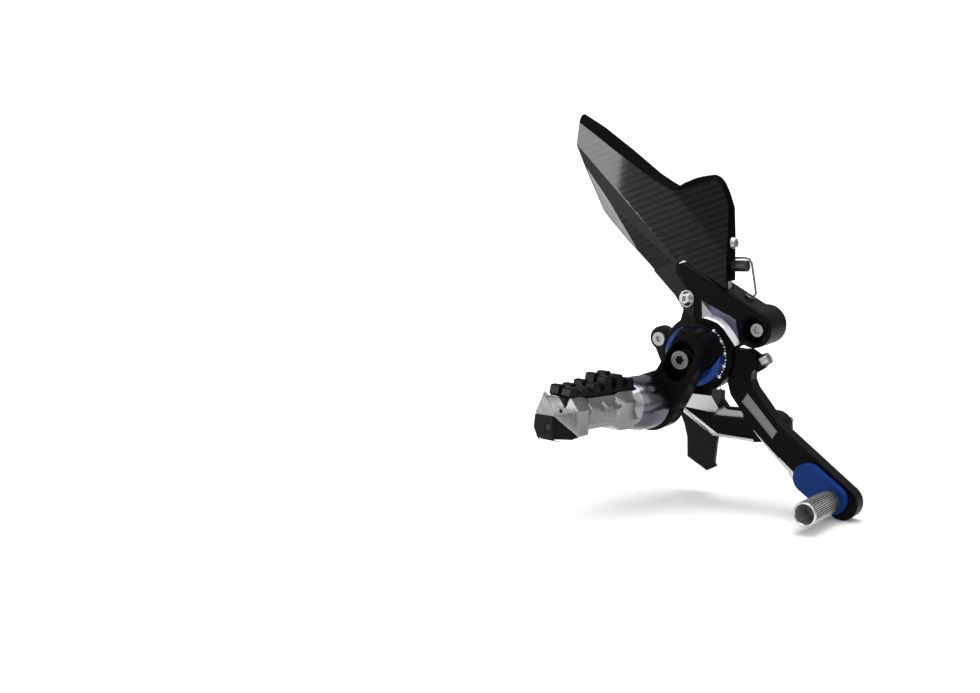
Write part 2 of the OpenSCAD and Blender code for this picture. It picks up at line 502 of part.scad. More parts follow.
module cylinder_plate() color([0.07, 0.07, 0.075]) place() difference() {
  union() {
    plate(stand_off - pad, stand_off - pad + 4) polygon([[-47.6, 2], [-31, 8.5], [-16, -33], [-4, -38], [6, -50], [3.2, -68], [1.8, -81.8], [3.4, -83.6], [-3.6, -87.4], [-19, -79], [-19.4, -64.8], [-22, -55.2]]);
    bar(-39.6, 4.4, 8.6, stand_off - pad - 3, stand_off - pad + 4, 48);
  }
  bar(-39.6, 4.4, 2.6, 10, 40, 24);
  for (p = plate_holes) bar(p[0], p[1], 2.3, stand_off - 1, stand_off + 6, 24);
}
module ear_screw() color([0.62, 0.62, 0.62]) place() difference() {
  union() {
    bar(-39.6, 4.4, 4.8, stand_off - pad - 7, stand_off - pad - 3, 40);
    bar(-39.6, 4.4, 2.5, stand_off - pad - 3.5, stand_off - pad + 6, 24);
  }
  drive(-39.6, 4.4, 2.2, stand_off - pad - 7, 2);
}
module plate_screw(p) color([0.5, 0.5, 0.5]) place() union() {
  bar(p[0], p[1], 2, stand_off - 7, stand_off - pad + 4.5, 24);
  bar(p[0], p[1], 4, stand_off - pad + 4, stand_off - pad + 7, 32);
}
module plate_screw_upper() plate_screw(plate_holes[0]);
module plate_screw_lower() plate_screw(plate_holes[1]);

bracket();
hub_disc();
peg_carrier();
carrier_bolt();
carrier_washer();
hub_nut();
peg_body();
peg_tread();
peg_slider();
slider_screw();
peg_bolt();
heel_guard();
guard_screw();
guard_front_screw();
guard_stay();
stay_screw();
hose_post();
wire_clip();
upper_frame_screw();
lower_frame_screw();
pedal();
pedal_bush();
pedal_retainer();
toe_plate();
toe_peg();
toe_peg_screw();
toe_slot_screw();
toe_slot_washer();
adjuster_screw();
adjuster_nut();
cylinder_plate();
ear_screw();
plate_screw_upper();
plate_screw_lower();
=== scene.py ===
"""Looks of a right-hand rear-set footrest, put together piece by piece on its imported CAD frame."""

import math

import bmesh
import bpy
import numpy as np
from mathutils import Matrix, Vector


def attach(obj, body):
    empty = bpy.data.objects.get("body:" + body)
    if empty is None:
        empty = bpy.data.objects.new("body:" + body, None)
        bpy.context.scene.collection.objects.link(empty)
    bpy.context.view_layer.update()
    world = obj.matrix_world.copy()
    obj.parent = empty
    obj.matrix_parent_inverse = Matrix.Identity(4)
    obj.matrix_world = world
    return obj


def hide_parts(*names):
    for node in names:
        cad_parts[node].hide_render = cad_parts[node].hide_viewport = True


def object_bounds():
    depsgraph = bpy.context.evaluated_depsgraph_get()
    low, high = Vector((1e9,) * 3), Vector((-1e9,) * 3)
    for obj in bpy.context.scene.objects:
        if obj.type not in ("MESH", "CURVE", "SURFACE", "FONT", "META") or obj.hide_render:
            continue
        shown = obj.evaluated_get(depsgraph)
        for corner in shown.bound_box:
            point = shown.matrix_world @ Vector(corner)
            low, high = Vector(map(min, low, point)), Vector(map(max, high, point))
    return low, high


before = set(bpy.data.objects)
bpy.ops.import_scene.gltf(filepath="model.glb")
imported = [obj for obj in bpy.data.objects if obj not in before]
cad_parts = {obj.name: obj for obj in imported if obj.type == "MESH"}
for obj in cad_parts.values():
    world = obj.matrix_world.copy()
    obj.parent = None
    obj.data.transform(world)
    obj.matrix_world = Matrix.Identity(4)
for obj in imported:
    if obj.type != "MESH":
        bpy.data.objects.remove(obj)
cad_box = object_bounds()


# Camera: a long lens in front of the unit, to its right and a little above it.
# It stands where the photograph was taken from, found from the hub ring's circle.
LENS_MM = 73.47
SENSOR_MM = 36.0
CLIP_M = (0.05, 20.0)
EYE = Vector((0.5644, -1.24082, 0.224))
RIGHT = Vector((0.8434, 0.5373, 0.0))
UP = Vector((-0.0933, 0.1465, 0.9848))
BACK = Vector((0.5291, -0.8306, 0.1736))

camera_data = bpy.data.cameras.new("camera")
camera_data.lens = LENS_MM
camera_data.sensor_width = SENSOR_MM
camera_data.clip_start, camera_data.clip_end = CLIP_M
camera = bpy.data.objects.new("camera", camera_data)
turn = Matrix((RIGHT, UP, BACK)).transposed().to_4x4()
camera.matrix_world = Matrix.Translation(EYE) @ turn
bpy.context.scene.collection.objects.link(camera)
bpy.context.scene.camera = camera
bpy.context.scene.view_settings.view_transform = "Standard"


# Bench and studio: a white bench top that keeps a soft grey shadow, a broad lamp overhead, one in
# front, a small panel at the left that the guard's tip mirrors, and a weak strip at the right.
# The sky that metal mirrors is brighter higher up. Lengths are in metres.
BENCH_HALF = 6.0
BENCH_GAP = 0.0004
BENCH_WHITE = (0.8, 0.8, 0.8, 1)
WHITE = (1, 1, 1, 1)
GLOW_NEAR, GLOW_FAR = 0.06, 1.0
GLOW_FROM, GLOW_TO = 0.16, 0.55
SKY_FELT = 0.35
SKY_LOW, SKY_HIGH = 0.24, 0.55
SKY_FROM, SKY_TO = -0.2, 0.9
TIP_AIM = (-0.125, -0.01, 0.115)
bench_z = cad_box[0].z - BENCH_GAP
middle = (cad_box[0] + cad_box[1]) / 2


def hands(tree):
    """What adds a node with its settings and socket values to a tree, and what links sockets."""

    def add(kind, sockets=(), **values):
        n = tree.nodes.new(kind)
        for key, value in {**values, **dict(sockets)}.items():
            if key in n.inputs.keys():
                n.inputs[key].default_value = value
            else:
                setattr(n, key, value)
        return n

    def link(a, b):
        tree.links.new(a, b)

    return add, link


def emptied(owner):
    """The hands for the emptied node tree of a material or world."""
    owner.use_nodes = True
    owner.node_tree.nodes.clear()
    return hands(owner.node_tree)


def lamp(name, place, aim, width, height, watts):
    """A rectangular soft lamp at a place, turned to a point."""
    data = bpy.data.lights.new(name, "AREA")
    data.shape = "RECTANGLE"
    data.size, data.size_y, data.energy = width, height, watts
    ob = bpy.data.objects.new(name, data)
    ob.location = place
    ob.rotation_mode = "QUATERNION"
    ob.rotation_quaternion = (Vector(aim) - Vector(place)).to_track_quat("-Z", "Y")
    bpy.context.scene.collection.objects.link(ob)


bench_data = bpy.data.meshes.new("bench")
corners = BENCH_HALF * np.array([[-1, -1], [1, -1], [1, 1], [-1, 1]])
bench_data.from_pydata([(x, y, bench_z) for x, y in corners], [], [(0, 1, 2, 3)])
bench = bpy.data.objects.new("bench", bench_data)
bpy.context.scene.collection.objects.link(bench)

bench_paint = bpy.data.materials.new("white_bench")
add, link = emptied(bench_paint)
out = add("ShaderNodeOutputMaterial")
matt = add("ShaderNodeBsdfDiffuse", Color=BENCH_WHITE)
glow = add("ShaderNodeEmission", Color=WHITE)
place = add("ShaderNodeTexCoord")
away = add("ShaderNodeVectorMath", operation="DISTANCE")
away.inputs[1].default_value = (middle.x, middle.y, bench_z)
fade = add(
    "ShaderNodeMapRange",
    {"From Min": GLOW_FROM, "From Max": GLOW_TO, "To Min": GLOW_NEAR, "To Max": GLOW_FAR},
    interpolation_type="SMOOTHSTEP",
)
both = add("ShaderNodeAddShader")
pick = add("ShaderNodeMixShader")
path = add("ShaderNodeLightPath")
link(place.outputs["Object"], away.inputs[0])
link(away.outputs["Value"], fade.inputs["Value"])
link(fade.outputs[0], glow.inputs["Strength"])
link(matt.outputs[0], both.inputs[0])
link(glow.outputs[0], both.inputs[1])
link(path.outputs["Is Camera Ray"], pick.inputs[0])
link(matt.outputs[0], pick.inputs[1])
link(both.outputs[0], pick.inputs[2])
link(pick.outputs[0], out.inputs["Surface"])
bench_data.materials.append(bench_paint)

world = bpy.data.worlds.new("studio")
bpy.context.scene.world = world
add, link = emptied(world)
out = add("ShaderNodeOutputWorld")
path = add("ShaderNodeLightPath")
seen = add("ShaderNodeBackground", Color=WHITE, Strength=1.0)
felt = add("ShaderNodeBackground", Color=WHITE, Strength=SKY_FELT)
mirrored = add("ShaderNodeBackground", Color=WHITE)
place = add("ShaderNodeTexCoord")
split = add("ShaderNodeSeparateXYZ")
rise = add(
    "ShaderNodeMapRange",
    {"From Min": SKY_FROM, "From Max": SKY_TO, "To Min": SKY_LOW, "To Max": SKY_HIGH},
)
glossy = add("ShaderNodeMixShader")
final = add("ShaderNodeMixShader")
link(place.outputs["Generated"], split.inputs[0])
link(split.outputs["Z"], rise.inputs["Value"])
link(rise.outputs[0], mirrored.inputs["Strength"])
link(path.outputs["Is Glossy Ray"], glossy.inputs[0])
link(felt.outputs[0], glossy.inputs[1])
link(mirrored.outputs[0], glossy.inputs[2])
link(path.outputs["Is Camera Ray"], final.inputs[0])
link(glossy.outputs[0], final.inputs[1])
link(seen.outputs[0], final.inputs[2])
link(final.outputs[0], out.inputs["Surface"])

lamp("top_lamp", (0.02, 0.1, 1.0), middle, width=0.9, height=0.9, watts=13)
lamp("front_lamp", (0.85, -1.25, 0.95), middle, width=0.9, height=0.8, watts=9)
lamp("tip_panel", (-0.667, -0.458, 0.17), TIP_AIM, width=0.32, height=0.3, watts=4)
lamp("right_strip", (1.0, 0.15, 0.45), middle, width=0.3, height=0.9, watts=1.5)


# Bracket: one plate of aluminium milled from thick stock and anodised black. The window on its
# arm and the flanks of the lower arm are milled again after the dye, so they show bare metal.
# Points are in mm from the hub: X to the right, Y back from the bracket's face, Z up.
HUB_MM = np.array([41.0, 27.0, 19.5])
BLACK_DYE = (0.002, 0.002, 0.0022)
BARE = (0.56, 0.56, 0.57)
BARE_GREY = (0.3, 0.3, 0.31)
BARE_FLOOR = (0.115, 0.118, 0.18)
GRAIN_RELIEF_M = 0.0001
TOOL_RELIEF_M = 0.00008
TOOL_GRAIN = 1500.0
EDGE_MM = 0.35
SAME_POINT_M = 2e-6
CUT_SLACK_M = 1e-7
FLAT_DEG = 1.0
CREASE_DEG = 30
NEAR_MM = 0.05
ARM_WINDOW = [
    (3.2, 37.4), (3.9, 25.9), (11.1, 24.6), (15.5, 23.2), (19.8, 19.9),
    (24.5, 14.2), (28.8, 8.6), (32, 10.7), (28.4, 26.5), (26, 27.9),
]
ARM_WINDOW_MM = 4.1
RING_MM = 21.5
LOW_FACE = 15.0
LOW_EDGES = [((4.9, -59.5), (34, -60.4)), ((4.9, -59.5), (-18.3, -45.3))]
LOW_BAND_MM = 4.6
LOW_BAND_END = 36
LOW_WINDOW = [
    (-9, -33.4), (7.6, -45), (29, -44.4), (28.4, -39.2), (17, -39.3),
    (14.8, -38), (10.8, -33.6), (9.6, -30.9),
]
LOW_WINDOW_MM = 3.1
RAMPS_BELOW = -27
SLANT = (-0.95, -0.5)


def effect(name, inputs, outputs):
    """An empty node group with its sockets, and what adds, links and reckons in it."""
    group = bpy.data.node_groups.new(name, "ShaderNodeTree")
    for label, kind, value in inputs:
        s = group.interface.new_socket(label, in_out="INPUT", socket_type=kind)
        s.default_value = value
    for label in outputs:
        group.interface.new_socket(label, in_out="OUTPUT", socket_type="NodeSocketFloat")
    add, link = hands(group)

    def calc(operation, a, b=None):
        n = add("ShaderNodeMath", operation=operation)
        for socket, v in zip(n.inputs, (a, b)):
            if isinstance(v, (int, float)):
                socket.default_value = v
            elif v is not None:
                link(v, socket)
        return n.outputs[0]

    return group, add("NodeGroupInput"), add("NodeGroupOutput"), add, link, calc


grain, start, end, add, link, calc = effect(
    "blasted_grain",
    [
        ("Scale", "NodeSocketFloat", 900.0),
        ("Low", "NodeSocketFloat", 0.3),
        ("High", "NodeSocketFloat", 0.42),
    ],
    ["Value", "Height", "Cloud"],
)
place = add("ShaderNodeTexCoord")
fine = add("ShaderNodeTexNoise", Detail=2.0)
broad = add("ShaderNodeTexNoise", Scale=38.0, Detail=3.0)
span = add("ShaderNodeMapRange", {"From Min": 0.3, "From Max": 0.7})
link(place.outputs["Object"], fine.inputs["Vector"])
link(place.outputs["Object"], broad.inputs["Vector"])
link(start.outputs["Scale"], fine.inputs["Scale"])
fine_part = calc("MULTIPLY", fine.outputs["Fac"], 0.4)
broad_part = calc("MULTIPLY", broad.outputs["Fac"], 0.6)
link(calc("ADD", fine_part, broad_part), span.inputs["Value"])
link(start.outputs["Low"], span.inputs["To Min"])
link(start.outputs["High"], span.inputs["To Max"])
link(span.outputs[0], end.inputs["Value"])
link(fine.outputs["Fac"], end.inputs["Height"])
link(broad.outputs["Fac"], end.inputs["Cloud"])

tooling, start, end, add, link, calc = effect(
    "cutter_marks",
    [
        ("Across", "NodeSocketVector", (1.0, 0.0, 0.0)),
        ("Pitch", "NodeSocketFloat", 4500.0),
        ("Waver", "NodeSocketFloat", 2.0),
    ],
    ["Line", "Streak"],
)
place = add("ShaderNodeTexCoord")
dot = add("ShaderNodeVectorMath", operation="DOT_PRODUCT")
noise = add("ShaderNodeTexNoise", Scale=60.0, Detail=3.0)
streak = add("ShaderNodeTexNoise", noise_dimensions="1D", Scale=900.0, Detail=3.0)
link(place.outputs["Object"], dot.inputs[0])
link(start.outputs["Across"], dot.inputs[1])
link(place.outputs["Object"], noise.inputs["Vector"])
steady = calc("MULTIPLY", dot.outputs["Value"], start.outputs["Pitch"])
waver = calc("MULTIPLY", noise.outputs["Fac"], start.outputs["Waver"])
wave = calc("SINE", calc("ADD", steady, waver))
link(calc("ADD", calc("MULTIPLY", wave, 0.5), 0.5), end.inputs["Line"])
link(dot.outputs["Value"], streak.inputs["W"])
link(streak.outputs["Fac"], end.inputs["Streak"])


def skinned(name, base, light, bump, relief_m, skin_values):
    """A material whose colour runs from a base to a lighter one and whose surface has a relief.
    It comes with its hands and the sockets for the colour's mix, the height and the roughness."""
    m = bpy.data.materials.new(name)
    add, link = emptied(m)
    out = add("ShaderNodeOutputMaterial")
    skin = add("ShaderNodeBsdfPrincipled", skin_values)
    shade = add("ShaderNodeMix", {"A": (*base, 1), "B": (*light, 1)}, data_type="RGBA")
    relief = add("ShaderNodeBump", Strength=bump, Distance=relief_m)
    link(shade.outputs["Result"], skin.inputs["Base Color"])
    link(relief.outputs[0], skin.inputs["Normal"])
    link(skin.outputs[0], out.inputs["Surface"])
    sockets = shade.inputs["Factor"], relief.inputs["Height"], skin.inputs["Roughness"]
    return m, add, link, *sockets


def dyed(name, base, rough, metallic=0.0, level=0.5, bump=0.05, scale=2200.0, lift=1.35):
    """A dyed or moulded finish: colour and roughness wander a little over a fine blasted grain."""
    light = [lift * c for c in base]
    values = {"Metallic": metallic, "Specular IOR Level": level}
    m, add, link, mix, height, roughness = skinned(
        name, base, light, bump, GRAIN_RELIEF_M, values)
    speck = add("ShaderNodeGroup", node_tree=grain, Scale=scale, Low=rough[0], High=rough[1])
    link(speck.outputs["Value"], roughness)
    link(speck.outputs["Cloud"], mix)
    link(speck.outputs["Height"], height)
    return m


def milled(name, base, across, rough, pitch=4500.0, bump=0.12, lift=1.2):
    """Bare metal that a cutter has crossed: fine parallel lines, broader streaks and a wandering
    polish."""
    light = [min(1.0, lift * c) for c in base]
    m, add, link, mix, height, roughness = skinned(
        name, base, light, bump, TOOL_RELIEF_M, {"Metallic": 1.0})
    marks = add("ShaderNodeGroup", node_tree=tooling, Across=across, Pitch=pitch)
    speck = add(
        "ShaderNodeGroup", node_tree=grain, Scale=TOOL_GRAIN, Low=rough[0], High=rough[1])
    link(speck.outputs["Value"], roughness)
    link(marks.outputs["Streak"], mix)
    link(marks.outputs["Line"], height)
    return m


def creased(mesh, angle):
    """Shades a mesh smoothly, but for the edges that turn by more than an angle in degrees."""
    mesh.polygons.foreach_set("use_smooth", np.ones(len(mesh.polygons), bool))
    mesh.set_sharp_from_angle(angle=math.radians(angle))


def softened(node, name, width=EDGE_MM, angle=CREASE_DEG):
    """The CAD node's shape with its doubles merged, its flat faces joined and a small round along
    every edge."""
    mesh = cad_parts[node].data.copy()
    mesh.name = name
    mesh.attributes.remove(mesh.attributes["custom_normal"])
    work = bmesh.new()
    work.from_mesh(mesh)
    bmesh.ops.remove_doubles(work, verts=work.verts, dist=SAME_POINT_M)
    bmesh.ops.dissolve_limit(
        work, angle_limit=math.radians(FLAT_DEG), verts=work.verts, edges=work.edges)
    bmesh.ops.recalc_face_normals(work, faces=work.faces)
    work.to_mesh(mesh)
    work.free()
    mesh.materials.clear()
    creased(mesh, angle)
    piece = bpy.data.objects.new(name, mesh)
    bpy.context.scene.collection.objects.link(piece)
    if width:
        edge = piece.modifiers.new("rounded_edge", "BEVEL")
        edge.width = width * 0.001
        edge.segments = 2
        edge.limit_method = "ANGLE"
        edge.angle_limit = math.radians(angle)
        edge.use_clamp_overlap = False
        edge.harden_normals = True
        edge.miter_outer = "MITER_ARC"
    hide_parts(node)
    return piece


def rows_of(items, key):
    """A three-number property of each of a mesh's items, as the rows of an array."""
    flat = np.empty(len(items) * 3)
    items.foreach_get(key, flat)
    return flat.reshape(-1, 3)


def middles(piece):
    """Middles of a piece's faces, in mm from the hub."""
    return rows_of(piece.data.polygons, "center") * 1000 + HUB_MM


def normals(piece):
    """Normals of a piece's faces."""
    return rows_of(piece.data.polygons, "normal")


def between(values, low, high):
    """True where a value lies between two."""
    return (values > low) & (values < high)


def within(points, outline, grow=0.015):
    """True where a point in X and Z lies inside a closed outline, by the even-odd rule. The
    outline is first scaled about its middle by a small share."""
    p = np.asarray(points)[:, [0, 2]]
    a = np.array(outline, float)
    a = a.mean(0) + (a - a.mean(0)) * (1 + grow)
    b = np.roll(a, -1, 0)
    x, z = p[:, :1], p[:, 1:]
    crosses = (a[:, 1] > z) != (b[:, 1] > z)
    with np.errstate(divide="ignore", invalid="ignore"):
        at = a[:, 0] + (z - a[:, 1]) * (b[:, 0] - a[:, 0]) / (b[:, 1] - a[:, 1])
    return (crosses & (x < at)).sum(1) % 2 == 1


def beside(points, a, b):
    """How far in mm points lie to the left of the line from a to b in X and Z: the cross product
    of the line and the way to the point, over the line's length."""
    d = np.array(b, float) - a
    p = np.asarray(points)[:, [0, 2]] - a
    return (d[0] * p[:, 1] - d[1] * p[:, 0]) / np.hypot(*d)


def coat(piece, materials, choice=None):
    """Gives a piece its materials, and each face the number of the one it takes."""
    for m in materials:
        piece.data.materials.append(m)
    if choice is not None:
        numbers = np.asarray(choice, dtype=np.int32)
        piece.data.polygons.foreach_set("material_index", numbers)


def band(piece, level, lines, width):
    """Cuts the flat face at a level along lines set in from its edges, so that a band of it can
    be bare metal."""
    work = bmesh.new()
    work.from_mesh(piece.data)
    for a, b in lines:
        d = Vector((b[0] - a[0], 0, b[1] - a[1])).normalized()
        up = Vector((-d.z, 0, d.x)) if d.x > 0 else Vector((d.z, 0, -d.x))
        spot = (Vector((a[0], level, a[1])) + up * width - Vector(HUB_MM)) * 0.001
        flat = [
            f for f in work.faces
            if abs(f.normal.y + 1) < 0.01
            and abs(f.calc_center_median().y * 1000 + HUB_MM[1] - level) < NEAR_MM
        ]
        verts = list(dict.fromkeys(v for f in flat for v in f.verts))
        edges = list(dict.fromkeys(e for f in flat for e in f.edges))
        bmesh.ops.bisect_plane(
            work, geom=verts + edges + flat, plane_co=spot, plane_no=up, dist=CUT_SLACK_M)
    work.to_mesh(piece.data)
    work.free()
    piece.data.set_sharp_from_angle(angle=math.radians(CREASE_DEG))


anodised_black = dyed("anodised_black", BLACK_DYE, (0.3, 0.4), level=0.06, lift=1.6)
window_floor = milled(
    "milled_window", BARE_FLOOR, across=(0.62, 0.0, 0.78), rough=(0.26, 0.36), lift=1.6)
flank_metal = milled(
    "milled_flank", BARE, across=(0.78, 0.0, 0.62), rough=(0.3, 0.42), lift=1.35)
flank_grey = milled(
    "milled_flank_grey", BARE_GREY, across=(0.5, 0.0, 0.86), rough=(0.3, 0.4), lift=1.3)

bracket = softened("bracket", "milled_bracket", 0.5)
band(bracket, LOW_FACE, LOW_EDGES, LOW_BAND_MM)
mid, way = middles(bracket), normals(bracket)
deep = mid[:, 1]
off_ring = np.hypot(mid[:, 0], mid[:, 2]) > RING_MM
in_window = between(deep, NEAR_MM, ARM_WINDOW_MM) & within(mid, ARM_WINDOW) & off_ring
window_wall = in_window & (np.abs(way[:, 1]) < 0.5)
in_low = between(deep, LOW_FACE + NEAR_MM, LOW_FACE + LOW_WINDOW_MM) & within(mid, LOW_WINDOW)
near_edge = np.any([np.abs(beside(mid, *line)) < LOW_BAND_MM for line in LOW_EDGES], axis=0)
bare_band = (np.abs(deep - LOW_FACE) < NEAR_MM) & (mid[:, 0] < LOW_BAND_END) & near_edge
ramp = (mid[:, 2] < RAMPS_BELOW) & between(way[:, 1], *SLANT) & (way[:, 2] < -0.3)
choice = np.zeros(len(mid), int)
choice[in_window] = 1
choice[window_wall | ramp | bare_band] = 2
choice[in_low] = 3
coat(bracket, [anodised_black, window_floor, flank_metal, flank_grey], choice)
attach(bracket, "frame_side")


# Sloped lips in the arm's window: the cutter leaves a bright slope beside the hub ring and
# a second one at the window's left end. Both are bare metal.
RING_LIP = [
    (3.9, 25.9), (7.6, 25.4), (11.1, 24.6), (15.5, 23.2), (19.8, 19.9), (24.5, 14.2), (28.8, 8.6),
]
END_LIP_TOP = [(3.3, 37.0), (3.95, 26.2)]
END_LIP_FOOT = [(4.9, 36.0), (9.6, 27.9)]
LIP_IN_MM = 0.05
LIP_OUT_MM = 2.9
LIP_FACE = 0.03
LIP_FLOOR = 3.96
LIP_WHITE = (0.86, 0.86, 0.87)
LIP_GREY = (0.4, 0.4, 0.41)


def ring_quads(rows, around):
    """Faces of a grid whose rows close on themselves: each joins two neighbours in a row to the
    same two in the next row."""
    i = np.arange(rows - 1)[:, None] * around
    j = np.arange(around)[None, :]
    k = (j + 1) % around
    return np.stack([i + j, i + k, i + around + k, i + around + j], -1).reshape(-1, 4)


def grid_piece(name, points, faces, merge_m=0.0, turn_out=True):
    """A new piece from points in mm from the hub and faces. Near points are merged and the faces
    are turned outward where that is asked for."""
    mesh = bpy.data.meshes.new(name)
    mesh.from_pydata(((points - HUB_MM) / 1000).tolist(), [], faces)
    work = bmesh.new()
    work.from_mesh(mesh)
    if merge_m:
        bmesh.ops.remove_doubles(work, verts=work.verts, dist=merge_m)
    if turn_out:
        bmesh.ops.recalc_face_normals(work, faces=work.faces)
    work.to_mesh(mesh)
    work.free()
    piece = bpy.data.objects.new(name, mesh)
    bpy.context.scene.collection.objects.link(piece)
    return piece


def sloped_lip(name, top, foot):
    """A wedge along a line. Its three corners at each point are the line at the bracket's face,
    the line's foot on the window's floor, and the floor right behind the line."""
    top, foot = np.array(top, float), np.array(foot, float)
    count = len(top)
    face, floor = np.full(count, LIP_FACE), np.full(count, LIP_FLOOR)
    rows = np.stack([
        np.c_[top[:, 0], face, top[:, 1]],
        np.c_[foot[:, 0], floor, foot[:, 1]],
        np.c_[top[:, 0], floor, top[:, 1]],
    ], 1)
    ends = [[0, 1, 2], [3 * count - 1, 3 * count - 2, 3 * count - 3]]
    return grid_piece(name, rows.reshape(-1, 3), ring_quads(count, 3).tolist() + ends)


lip_white = milled(
    "milled_lip", LIP_WHITE, across=(0.2, 0.9, 0.2), rough=(0.4, 0.5), lift=1.1)
lip_grey = milled(
    "milled_end_slope", LIP_GREY, across=(0.1, 0.0, 1.0), rough=(0.3, 0.4),
    pitch=3600.0, bump=0.4, lift=1.5)
top = np.array(RING_LIP)
outward = top / np.hypot(top[:, 0], top[:, 1])[:, None]
ring_lip = sloped_lip("window_ring_lip", top + LIP_IN_MM * outward, top + LIP_OUT_MM * outward)
end_lip = sloped_lip("window_end_lip", END_LIP_TOP, END_LIP_FOOT)
for lip, look in ((ring_lip, lip_white), (end_lip, lip_grey)):
    coat(lip, [look])
    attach(lip, "frame_side")


# Scale on the hub ring: shallow dimples filled with white paint, five large ones with
# small ones between them, along the front right of the ring.
SCALE_RADIUS = 22.0
LARGE_DOTS = [(12.5, 17.7), (18.3, 10.9), (21.2, 2.7), (20.9, -6.0), (17.5, -13.7)]
LARGE_MM = 1.2
SMALL_MM = 0.42
HALFWAY_MORE_MM = 0.14
DOT_RISE_MM = 0.12
DOT_SUNK_MM = 0.01
DOT_RINGS = 5
DOT_AROUND = 20
PAINT_WHITE = (0.9, 0.9, 0.89)


def paint_dot(x, z, radius):
    """A low dome of paint: radius times ring share in X and Z, raised by a cosine of the share."""
    share = np.linspace(0, 1, DOT_RINGS)[:, None]
    turn = np.linspace(0, 2 * math.pi, DOT_AROUND, endpoint=False)[None, :]
    px = x + radius * share * np.cos(turn)
    py = DOT_SUNK_MM - DOT_RISE_MM * np.cos(share * math.pi / 2) + 0 * turn
    pz = z + radius * share * np.sin(turn)
    return np.stack([px, py, pz], -1).reshape(-1, 3)


angles = [math.atan2(z, x) for x, z in LARGE_DOTS]
dots = [(x, z, LARGE_MM) for x, z in LARGE_DOTS]
for a, b in zip(angles, angles[1:]):
    for k in (1, 2, 3):
        t = a + (b - a) * k / 4
        radius = SMALL_MM + HALFWAY_MORE_MM * (k == 2)
        dots.append((SCALE_RADIUS * math.cos(t), SCALE_RADIUS * math.sin(t), radius))
domes = np.concatenate([paint_dot(*d) for d in dots])
dome_quads = ring_quads(DOT_RINGS, DOT_AROUND)[:, [0, 3, 2, 1]]
quads = np.concatenate([dome_quads + n * DOT_RINGS * DOT_AROUND for n in range(len(dots))])
scale_dots = grid_piece("scale_dots", domes, quads.tolist(), merge_m=1e-6, turn_out=False)
coat(scale_dots, [dyed("scale_paint", PAINT_WHITE, (0.4, 0.55), level=0.4, lift=1.05)])
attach(scale_dots, "frame_side")


# Hub disc: turned aluminium with a coned rim, dyed blue. The milled seat that the carrier's
# shoe sits in is painted dark navy as painted shade under the shoe.
BLUE_DYE = (0.0028, 0.03, 0.17)
SEAT_SHADE_NAVY = (0.002, 0.004, 0.016)
SEAT_LEVEL = -0.95
anodised_blue = dyed(
    "anodised_blue", BLUE_DYE, (0.28, 0.38), metallic=0.55, level=0.4, lift=1.3)
# Painted shade: the seat's faces take a dark navy for the shade under the carrier's shoe.
painted_shade_seat = dyed("painted_shade_seat", SEAT_SHADE_NAVY, (0.35, 0.45), level=0.2)
hub_disc = softened("hub_disc", "turned_disc")
coat(hub_disc, [anodised_blue, painted_shade_seat], middles(hub_disc)[:, 1] > SEAT_LEVEL)
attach(hub_disc, "hub")


# Peg carrier: a thick milled link, anodised black, with a long pocket for the hub bolt's head
# and a shoe at its back that sits in the blue disc.
peg_carrier = softened("peg_carrier", "milled_carrier", 0.4)
coat(peg_carrier, [anodised_black])
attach(peg_carrier, "carrier")


# Screws, washers and nuts: plated steel with fine turning lines. The slider's screw is blackened,
# the hub bolt's socket is painted near black as painted shade, and its washer is a little smaller
# than the CAD one so that it stays clear of the pocket's ends.
HUB_AXIS = Vector((-HUB_MM[0], 0, -HUB_MM[2])) / 1000
PLATED_GREY = (0.36, 0.36, 0.365)
SCREW_EDGE_MM = 0.12
SOCKET_MM = 3.2
SOCKET_FROM_MM, SOCKET_TO_MM = 0.2, 3.5
WASHER_SHARE = 0.94
WASHER_LIFT_MM = 0.03
SCREWS = (
    "carrier_bolt", "carrier_washer", "hub_nut", "guard_screw", "guard_front_screw",
    "stay_screw", "ear_screw", "plate_screw_upper", "plate_screw_lower", "upper_frame_screw",
    "lower_frame_screw", "toe_peg_screw", "toe_slot_screw", "toe_slot_washer",
    "adjuster_screw", "adjuster_nut", "peg_bolt", "slider_screw", "pedal_retainer",
)
MOVING_SCREWS = {
    "carrier_bolt": "hub", "carrier_washer": "hub", "hub_nut": "hub",
    "peg_bolt": "carrier", "slider_screw": "carrier",
    "toe_peg_screw": "toe_unit", "toe_slot_screw": "toe_unit", "toe_slot_washer": "toe_unit",
    "adjuster_screw": "brake_pedal", "adjuster_nut": "brake_pedal",
}


def plated(name, base, rough):
    """Plated steel or bronze: fine turning lines, clouded a little."""
    return milled(
        name, base, across=(0.3, 0.9, 0.3), rough=rough, pitch=9000.0, bump=0.06, lift=1.3)


screw_steel = plated("screw_steel", PLATED_GREY, (0.24, 0.36))
recessed_black = dyed("recessed_screw", (0.007, 0.007, 0.007), (0.4, 0.55), level=0.3)
# Painted shade: the faces inside the hub bolt's socket take a near-black metal.
socket_shade = dyed(
    "socket_shade", (0.012, 0.012, 0.012), (0.4, 0.55), metallic=0.6, level=0.2)
for node in SCREWS:
    part = softened(node, "plated_" + node, SCREW_EDGE_MM)
    if node == "carrier_washer":
        shrink = Matrix.Diagonal((WASHER_SHARE, 1, WASHER_SHARE, 1))
        to_axis = Matrix.Translation(HUB_AXIS)
        part.data.transform(to_axis @ shrink @ Matrix.Translation(-HUB_AXIS))
        part.data.transform(Matrix.Translation((0, -WASHER_LIFT_MM / 1000, 0)))
    mid = middles(part)
    below_top = mid[:, 1] - mid[:, 1].min()
    near_axis = np.hypot(mid[:, 0], mid[:, 2]) < SOCKET_MM
    socket = between(below_top, SOCKET_FROM_MM, SOCKET_TO_MM) & near_axis
    look = recessed_black if node == "slider_screw" else screw_steel
    coat(part, [look, socket_shade], socket & (node == "carrier_bolt"))
    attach(part, MOVING_SCREWS.get(node, "frame_side"))
